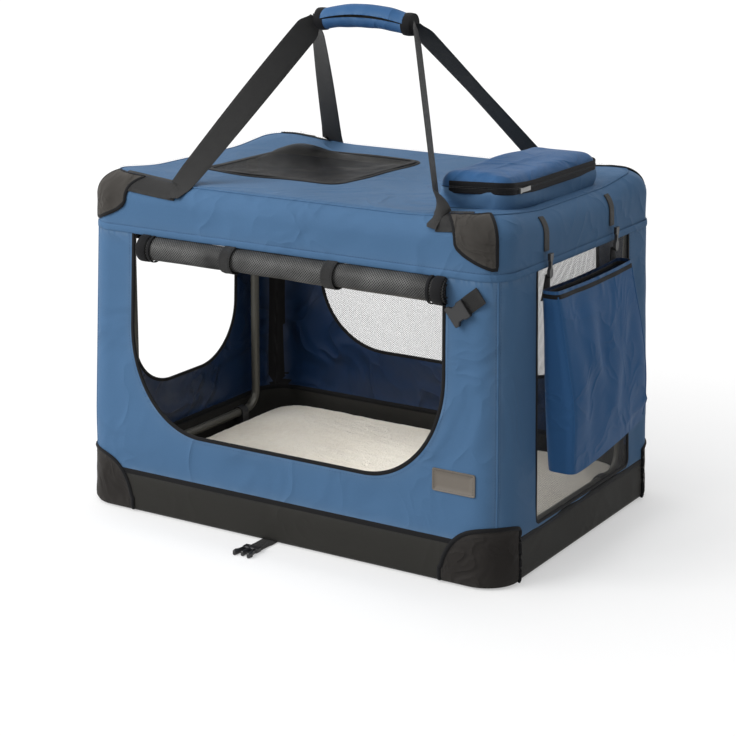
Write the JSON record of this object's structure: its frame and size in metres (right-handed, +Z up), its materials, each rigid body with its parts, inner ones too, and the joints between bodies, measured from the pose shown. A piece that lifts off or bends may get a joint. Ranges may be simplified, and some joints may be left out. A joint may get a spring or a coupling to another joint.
{
  "type": "soft folding dog crate",
  "caption": "Soft-sided folding dog crate with a steel tube frame, netted windows, rolled doors, fleece mat, roof bag, hanging side pocket and carrying handle",
  "frame": {"origin": "on the floor, under the middle of the outer box in its open pose", "axes": "+X along the long side towards the end with the hanging pocket, +Y from the front door to the rear window, +Z up"},
  "size_m": [0.7704, 0.5794, 0.7439],
  "materials": {
    "blue_fabric": "blue coated polyester cloth, slight sheen",
    "black_fabric": "heavy black woven cloth",
    "patch_fabric": "dark grey woven reinforcement cloth",
    "webbing": "black ribbed webbing",
    "net": "black knitted net",
    "fleece": "cream curly fleece",
    "board": "stiff pressed board in dark cloth",
    "steel_tube": "dark grey powder coat",
    "black_plastic": "moulded black acetal",
    "zinc": "polished zinc"
  },
  "bodies": {
    "base": {"base_tray": "black_fabric", "base_frame": "steel_tube", "base_board": "board", "mattress": "fleece", "front_wall": "blue_fabric", "rear_wall": "blue_fabric", "left_wall": "blue_fabric", "right_wall": "blue_fabric", "rear_window_net": "net", "right_window_net": "net", "base_patch_front_left": "patch_fabric", "base_patch_front_right": "patch_fabric", "base_patch_rear_left": "patch_fabric", "base_patch_rear_right": "patch_fabric", "bracket_left_front": "black_plastic", "bracket_right_front": "black_plastic", "bracket_left_rear": "black_plastic", "bracket_right_rear": "black_plastic"},
    "roof": {"roof_cover": "blue_fabric", "roof_frame": "steel_tube", "roof_bag_body": "blue_fabric", "front_door_roll": "net", "left_door_roll": "net", "roof_patch_front_left": "patch_fabric", "roof_patch_front_right": "patch_fabric", "roof_patch_rear_left": "patch_fabric", "roof_patch_rear_right": "patch_fabric", "snap_channel_left_front": "black_plastic", "snap_channel_right_front": "black_plastic", "snap_channel_left_rear": "black_plastic", "snap_channel_right_rear": "black_plastic", "carry_strap_front_left": "webbing", "carry_strap_front_right": "webbing", "carry_strap_rear_left": "webbing", "carry_strap_rear_right": "webbing", "pocket_loop_front": "webbing", "pocket_loop_rear": "webbing", "front_door_tie_left": "webbing", "front_door_tie_right": "webbing", "left_door_tie_front": "webbing", "left_door_tie_rear": "webbing"},
    "left_end": {"left_end_frame": "steel_tube", "left_leg_cap_front": "black_plastic", "left_leg_cap_rear": "black_plastic"},
    "right_end": {"right_end_frame": "steel_tube", "right_leg_cap_front": "black_plastic", "right_leg_cap_rear": "black_plastic"},
    "grip": {"grip_sleeve": "blue_fabric", "grip_cuff_left": "webbing", "grip_cuff_right": "webbing"},
    "bag_lid": {"roof_bag_lid": "blue_fabric"},
    "bag_slider": {"bag_zip_slider": "zinc"},
    "roof_door": {"roof_door_net": "net"},
    "pocket": {"side_pocket": "blue_fabric", "pocket_hook_front": "black_plastic", "pocket_hook_rear": "black_plastic"},
    "corner_buckle": {"corner_strap": "webbing", "buckle_socket": "black_plastic"},
    "floor_buckle": {"floor_strap": "webbing", "buckle_plug": "black_plastic"}
  },
  "joints": [
    {"name": "roof_drop", "type": "slide", "parent": "base", "child": "roof", "axis": [0, 0, -1], "range_m": [0, 0.355], "deforming": ["front_wall", "rear_wall", "left_wall", "right_wall", "rear_window_net", "right_window_net", "roof_cover", "front_door_roll", "left_door_roll", "front_door_tie_left", "front_door_tie_right", "left_door_tie_front", "left_door_tie_rear", "roof_patch_front_left", "roof_patch_front_right", "roof_patch_rear_left", "roof_patch_rear_right", "side_pocket"]},
    {"name": "left_end_fold", "type": "hinge", "parent": "base", "child": "left_end", "pos_m": [-0.34579, 0.03708, 0.0499], "axis": [0, 1, 0], "range_deg": [0, 90]},
    {"name": "right_end_fold", "type": "hinge", "parent": "base", "child": "right_end", "pos_m": [0.31421, 0.03708, 0.0499], "axis": [0, -1, 0], "range_deg": [0, 90]},
    {"name": "handle_drop", "type": "slide", "parent": "roof", "child": "grip", "axis": [0.451, 0, -0.8925], "range_m": [0, 0.2129], "deforming": ["carry_strap_front_left", "carry_strap_front_right", "carry_strap_rear_left", "carry_strap_rear_right"]},
    {"name": "bag_lid_swing", "type": "hinge", "parent": "roof", "child": "bag_lid", "pos_m": [0.18421, 0.01108, 0.5286], "axis": [0, -1, 0], "range_deg": [0, 110]},
    {"name": "bag_zip_slide", "type": "slide", "parent": "roof", "child": "bag_slider", "axis": [0, 1, 0], "range_m": [0, 0.21]},
    {"name": "roof_door_swing", "type": "hinge", "parent": "roof", "child": "roof_door", "pos_m": [-0.26579, 0.05208, 0.5], "axis": [0, -1, 0], "range_deg": [0, 110]},
    {"name": "pocket_swing", "type": "hinge", "parent": "roof", "child": "pocket", "pos_m": [0.33931, 0.01908, 0.446], "axis": [0, -1, 0], "range_deg": [0, 80]},
    {"name": "corner_buckle_swing", "type": "hinge", "parent": "roof", "child": "corner_buckle", "pos_m": [0.29821, -0.21467, 0.404], "axis": [-0.6157, 0, 0.788], "range_deg": [0, 90]},
    {"name": "floor_buckle_swing", "type": "hinge", "parent": "base", "child": "floor_buckle", "pos_m": [-0.03379, -0.22422, 0.0019], "axis": [-1, 0, 0], "range_deg": [0, 80]}
  ],
  "couplings": [
    {"joint": "left_end_fold", "follows": "roof_drop", "rad_per_m": 4.4247},
    {"joint": "right_end_fold", "follows": "roof_drop", "rad_per_m": 4.4247}
  ]
}
